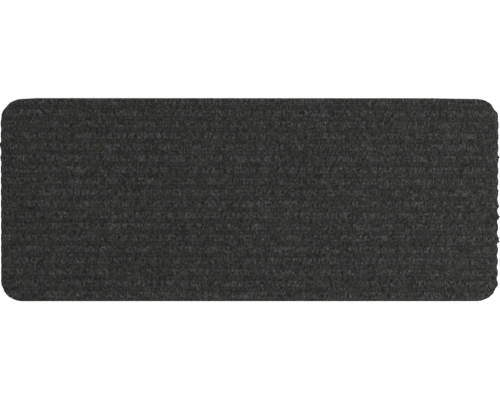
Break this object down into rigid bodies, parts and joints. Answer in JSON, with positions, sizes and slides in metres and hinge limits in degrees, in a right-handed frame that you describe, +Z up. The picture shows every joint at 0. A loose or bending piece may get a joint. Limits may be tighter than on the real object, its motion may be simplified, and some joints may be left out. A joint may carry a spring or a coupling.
{
  "type": "ribbed stair tread mat",
  "caption": "Rectangular ribbed felt mat with rounded corners that lies flat on a stair tread.",
  "frame": {"origin": "middle of the flat underside, where the mat lies on the tread", "axes": "+X along the ribs and the tread's width, +Y towards the back of the tread, +Z up out of the ribbed face"},
  "size_m": [0.6497, 0.265, 0.007],
  "materials": {
    "charcoal_felt": "matt heathered charcoal needle felt, ribbed"
  },
  "bodies": {
    "root": {"tread_mat": "charcoal_felt"}
  },
  "joints": []
}
